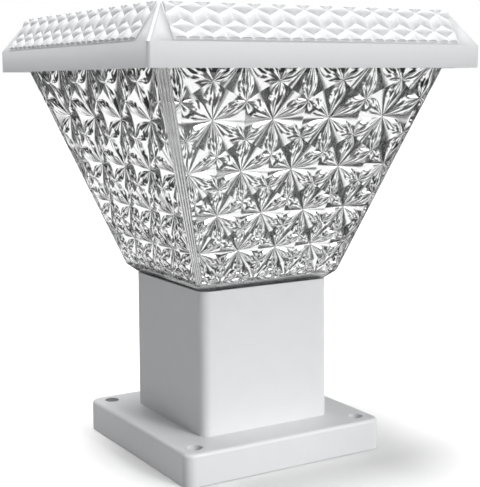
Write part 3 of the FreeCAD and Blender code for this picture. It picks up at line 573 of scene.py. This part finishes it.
def lower_slabs(bm):
    """Brings the slab on every slope down by the quilt's drop."""
    for vert in bm.verts:
        for quarter in range(4):
            u, v, h = slope.local(vert.co, quarter)
            if SLAB_STEP - 0.01 < h < CAD_QUILT_FOOT + CAD_QUILT_RISE and abs(u) < SLAB_HALF + 0.1:
                vert.co = slope.point(u, v, h - QUILT_DROP, quarter)
                break


def add_lip(bm, quarter):
    """Closes the gap under a slab's lower edge with an upright strip and two ends."""
    ends = []
    for u in (-SLAB_HALF, SLAB_HALF):
        foot = slope.point(u, 0, 0, quarter) - Vector((0, 0, LIP_DROP * MM))
        edge = slope.point(u, SLAB_FOOT, slab_level, quarter)
        heel = slope.point(u, SLAB_FOOT, 0, quarter)
        ends.append([bm.verts.new(p) for p in (foot, edge, heel)])
    (foot, edge, heel), (far_foot, far_edge, far_heel) = ends
    bm.faces.new((foot, far_foot, far_edge, edge))
    bm.faces.new((foot, edge, heel))
    bm.faces.new((far_foot, far_heel, far_edge))


quilt_outline = rectangle(QUILT_HALF, QUILT_START, slope_length - QUILT_MARGIN)
quilt_rows = [(QUILT_FIRST + k * QUILT_ROW, QUILT_PITCH) for k in range(-2, 3)]
quilt = relief_faces(pillows(quilt_rows), quilt_outline, slab_level)
quilt.append((False, [[(u, v, slab_level) for u, v in rectangle(QUILT_HALF, QUILT_MARGIN, QUILT_START)]]))
roof_bm = cad_copy("roof_cover", quilt_face)
lower_slabs(roof_bm)
for quarter in range(4):
    add_relief(roof_bm, slope, quilt, quarter)
    add_lip(roof_bm, quarter)
finished(roof_bm, "roof_cover_moulded", "roof_cover", [MATERIALS["white_plastic"]])

# Shade: leaf-petalled stars on its four faces and reeding on its corner bands.
wall = Panel(SHOULDER_HALF, SHOULDER_Z, 1.0, -SHADE_TAPER)
lean = math.hypot(1, SHADE_TAPER)


def shade_half(z):
    return SHOULDER_HALF + (z - SHOULDER_Z) * SHADE_TAPER


def band_leg(z):
    """How far the corner band cuts back each side of the shade."""
    return BAND_LEG_LOW + (BAND_LEG_HIGH - BAND_LEG_LOW) * (z - SHOULDER_Z) / BAND_HEIGHT


low_half = SHOULDER_HALF - band_leg(SHOULDER_Z)
high_half = shade_half(SHADE_RIM_Z) - band_leg(SHADE_RIM_Z)
wall_height = (SHADE_RIM_Z - SHOULDER_Z) * lean
shade_outline = [(-low_half, 0.0), (low_half, 0.0), (high_half, wall_height), (-high_half, wall_height)]


def star_rows():
    """Rows of stars as (v, pitch), from above the rim to below the shoulder."""
    rows = []
    half = shade_half(STAR_ROWS_TOP_Z) / STAR_ROW_RATIO ** 2
    while not rows or rows[-1][0] > STAR_ROWS_END:
        rows.append(((half - SHOULDER_HALF) / SHADE_TAPER * lean, STAR_SPAN * half))
        half *= STAR_ROW_RATIO
    return rows


def shade_face(face):
    """Whether a CAD face is part of the star relief or of a corner band."""
    centre = face.calc_center_median()
    for quarter in range(4):
        u, v, h = wall.local(centre, quarter)
        if -STAR_DEPTH - 0.4 < h < NEAR and inside(u, v, shade_outline, 1e-3):
            return True
    x, y, z = (abs(c) / MM for c in centre)
    return SHOULDER_Z < z < SHADE_RIM_Z and abs(x + y - 2 * shade_half(z) + band_leg(z)) < NEAR


def reeded_line(bm, u, v, quarter):
    """The scalloped line across a corner band, from one face of the shade to the next."""
    one = wall.point(u, v, 0.0, quarter)
    two = wall.point(-u, v, 0.0, quarter + 1)
    inward = -Vector((one.x + two.x, one.y + two.y, 0)).normalized() * REED_DEPTH * MM
    count = REEDS * REED_STEPS
    return [bm.verts.new(one.lerp(two, i / count) + inward * abs(math.sin(math.pi * i / REED_STEPS)))
            for i in range(count + 1)]


def add_band(bm, quarter):
    low = reeded_line(bm, low_half, 0.0, quarter)
    high = reeded_line(bm, high_half, wall_height, quarter)
    for i in range(len(low) - 1):
        made = bm.faces.new((low[i], low[i + 1], high[i + 1], high[i]))
        made.smooth = True
        made.material_index = SHADE_SLOTS.index("crystal_band")


SHADE_SLOTS = ["crystal_plastic", "crystal_inner", "crystal_band"]
stars = relief_faces(star_cells(star_rows()), shade_outline, 0.0)
shade_bm = cad_copy("shade", shade_face, SHADE_SLOTS.index("crystal_inner"))
for quarter in range(4):
    add_relief(shade_bm, wall, stars, quarter)
    add_band(shade_bm, quarter)
finished(shade_bm, "shade_cut", "shade", [MATERIALS[slot] for slot in SHADE_SLOTS])


# ---------------------------------------------------------------- setting

# What glossy and clear surfaces see all round: bright soft boxes and dark flags.
STUDIO_SCALE = 4.5
STUDIO_DARK = 0.04
STUDIO_BRIGHT = 1.7
STUDIO_EDGE_LOW = 0.44
STUDIO_EDGE_HIGH = 0.58

FLOOR_HALF = 60.0
FLOOR_Z = -0.0004
FLOOR_BOUNCE = (0.40, 0.40, 0.403)
FLOOR_SEEN = (0.97, 0.97, 0.97)

# Soft light from the world by height, and its strength.
WORLD_STOPS = [(0.0, 0.15), (0.12, 0.2), (0.3, 0.6), (0.6, 1.1), (1.0, 1.1)]
WORLD_STRENGTH = 0.22

BASE_LIGHT_PLACE = Vector((0.30, -1.25, 0.62))
BASE_LIGHT_TARGET = Vector((-0.01, -0.09, -0.02))
BASE_LIGHT_WIDTH = 1.7
BASE_LIGHT_CONE = 9.5
BASE_LIGHT_SOFTNESS = 0.12
BASE_LIGHT_POWER = 52.0

# Camera solved from the photo's edges and corners.
CAMERA_PLACE = (-0.3256, -0.5596, 0.2121)
CAMERA_RIGHT = (0.8593, -0.5114, 0.0)
CAMERA_BACK = (-0.5060, -0.8503, 0.1443)
CAMERA_ROLL = -0.428
CAMERA_LENS = 82.19
CAMERA_SENSOR = 36.0


def studio_light(tree, vector, sign=1.0):
    """Strength of the studio in a direction."""
    turned = tree.nodes.new("ShaderNodeVectorMath")
    turned.operation = "SCALE"
    turned.inputs["Scale"].default_value = sign
    tree.links.new(vector, turned.inputs[0])
    noise = tree.nodes.new("ShaderNodeTexNoise")
    noise.inputs["Scale"].default_value = STUDIO_SCALE
    noise.inputs["Detail"].default_value = 1.0
    link(tree, turned, "Vector", noise, "Vector")
    patches = ramp_of(tree, noise, STUDIO_DARK, STUDIO_BRIGHT)
    patches.interpolation_type = "SMOOTHSTEP"
    patches.inputs["From Min"].default_value = STUDIO_EDGE_LOW
    patches.inputs["From Max"].default_value = STUDIO_EDGE_HIGH
    return patches.outputs["Result"]


def by_ray(tree, soft, studio, seen):
    """One shader for soft light, one for glossy and transmission rays, and one for the camera."""
    path = tree.nodes.new("ShaderNodeLightPath")
    through = tree.nodes.new("ShaderNodeMath")
    through.operation = "MAXIMUM"
    link(tree, path, "Is Transmission Ray", through, 0)
    link(tree, path, "Is Glossy Ray", through, 1)
    inner = tree.nodes.new("ShaderNodeMixShader")
    link(tree, through, 0, inner, "Fac")
    tree.links.new(soft, inner.inputs[1])
    tree.links.new(studio, inner.inputs[2])
    outer = tree.nodes.new("ShaderNodeMixShader")
    link(tree, path, "Is Camera Ray", outer, "Fac")
    link(tree, inner, "Shader", outer, 1)
    tree.links.new(seen, outer.inputs[2])
    return outer.outputs["Shader"]


def floor_material():
    """Pale floor that the camera sees near white, shadow and all, and that throws less light on the lamp."""
    mat, tree, bsdf = new_material("floor_white")
    noise = noise_of(tree, 2.0, 2.0)
    darker = tuple(c * 0.99 for c in FLOOR_BOUNCE)
    tree.links.new(tinted(tree, noise.outputs["Fac"], FLOOR_BOUNCE, darker), bsdf.inputs["Base Color"])
    bsdf.inputs["Roughness"].default_value = 1.0
    bsdf.inputs["Specular IOR Level"].default_value = 0.0
    seen = tree.nodes.new("ShaderNodeBsdfDiffuse")
    seen.inputs["Color"].default_value = (*FLOOR_SEEN, 1)
    geometry = tree.nodes.new("ShaderNodeNewGeometry")
    glow = tree.nodes.new("ShaderNodeEmission")
    tree.links.new(studio_light(tree, geometry.outputs["Incoming"], -1.0), glow.inputs["Strength"])
    shader = by_ray(tree, bsdf.outputs["BSDF"], glow.outputs["Emission"], seen.outputs["BSDF"])
    tree.links.new(shader, tree.nodes["Material Output"].inputs["Surface"])
    return mat


def add_floor():
    mesh = bpy.data.meshes.new("floor")
    corners = [(-1, -1), (1, -1), (1, 1), (-1, 1)]
    mesh.from_pydata([(x * FLOOR_HALF, y * FLOOR_HALF, FLOOR_Z) for x, y in corners], [], [(0, 1, 2, 3)])
    mesh.materials.append(floor_material())
    floor = bpy.data.objects.new("floor", mesh)
    scene.collection.objects.link(floor)


def aimed(name, data, towards):
    """A light whose rays come from a direction."""
    light = bpy.data.objects.new(name, data)
    scene.collection.objects.link(light)
    light.rotation_euler = Vector(towards).to_track_quat("Z", "Y").to_euler()
    return light


def add_sun(name, towards, strength, spread):
    data = bpy.data.lights.new(name, "SUN")
    data.energy = strength
    data.angle = math.radians(spread)
    aimed(name, data, towards)


def add_base_light():
    """A wide, soft spot under the eave, on the base and the foot of the column."""
    data = bpy.data.lights.new("base", "SPOT")
    data.energy = BASE_LIGHT_POWER
    data.spot_size = math.radians(BASE_LIGHT_CONE)
    data.spot_blend = 1.0
    data.shadow_soft_size = BASE_LIGHT_SOFTNESS
    light = aimed("base", data, BASE_LIGHT_PLACE - BASE_LIGHT_TARGET)
    light.location = BASE_LIGHT_PLACE
    light.scale = (BASE_LIGHT_WIDTH, 1.0, 1.0)


def add_world():
    """White for the camera, the studio for glossy and clear surfaces, and soft light for the rest."""
    world = bpy.data.worlds.new("studio")
    scene.world = world
    world.use_nodes = True
    tree = world.node_tree
    tree.nodes.clear()
    seen = tree.nodes.new("ShaderNodeBackground")
    seen.inputs["Color"].default_value = (1, 1, 1, 1)
    seen.inputs["Strength"].default_value = 1.0
    felt = tree.nodes.new("ShaderNodeBackground")
    felt.inputs["Strength"].default_value = WORLD_STRENGTH
    coord = tree.nodes.new("ShaderNodeTexCoord")
    split = tree.nodes.new("ShaderNodeSeparateXYZ")
    link(tree, coord, "Generated", split, "Vector")
    ramp = tree.nodes.new("ShaderNodeValToRGB")
    elements = ramp.color_ramp.elements
    while len(elements) < len(WORLD_STOPS):
        elements.new(0.5)
    for element, (at, level) in zip(elements, WORLD_STOPS):
        element.position = at
        element.color = (level, level, level * 1.01, 1)
    link(tree, split, "Z", ramp, "Fac")
    link(tree, ramp, "Color", felt, "Color")
    sparkle = tree.nodes.new("ShaderNodeBackground")
    tree.links.new(studio_light(tree, coord.outputs["Generated"]), sparkle.inputs["Strength"])
    shader = by_ray(tree, felt.outputs[0], sparkle.outputs[0], seen.outputs[0])
    out = tree.nodes.new("ShaderNodeOutputWorld")
    tree.links.new(shader, out.inputs["Surface"])


def add_camera():
    data = bpy.data.cameras.new("camera")
    data.sensor_width = CAMERA_SENSOR
    data.lens = CAMERA_LENS
    data.clip_start = 0.01
    data.clip_end = 30
    camera = bpy.data.objects.new("camera", data)
    scene.collection.objects.link(camera)
    scene.camera = camera
    right = Vector(CAMERA_RIGHT).normalized()
    back = Vector(CAMERA_BACK).normalized()
    up = back.cross(right).normalized()
    right = up.cross(back).normalized()
    turn = Matrix((right, up, back)).transposed().to_4x4()
    roll = Matrix.Rotation(math.radians(CAMERA_ROLL), 4, "Z")
    camera.matrix_world = Matrix.Translation(CAMERA_PLACE) @ turn @ roll


add_floor()
add_sun("key", towards=(0.42, -0.8, 0.32), strength=1.2, spread=36)
add_sun("overhead", towards=(-0.15, 0.55, 3.36), strength=3.8, spread=30)
add_base_light()
add_world()
add_camera()
scene.view_settings.view_transform = "Standard"
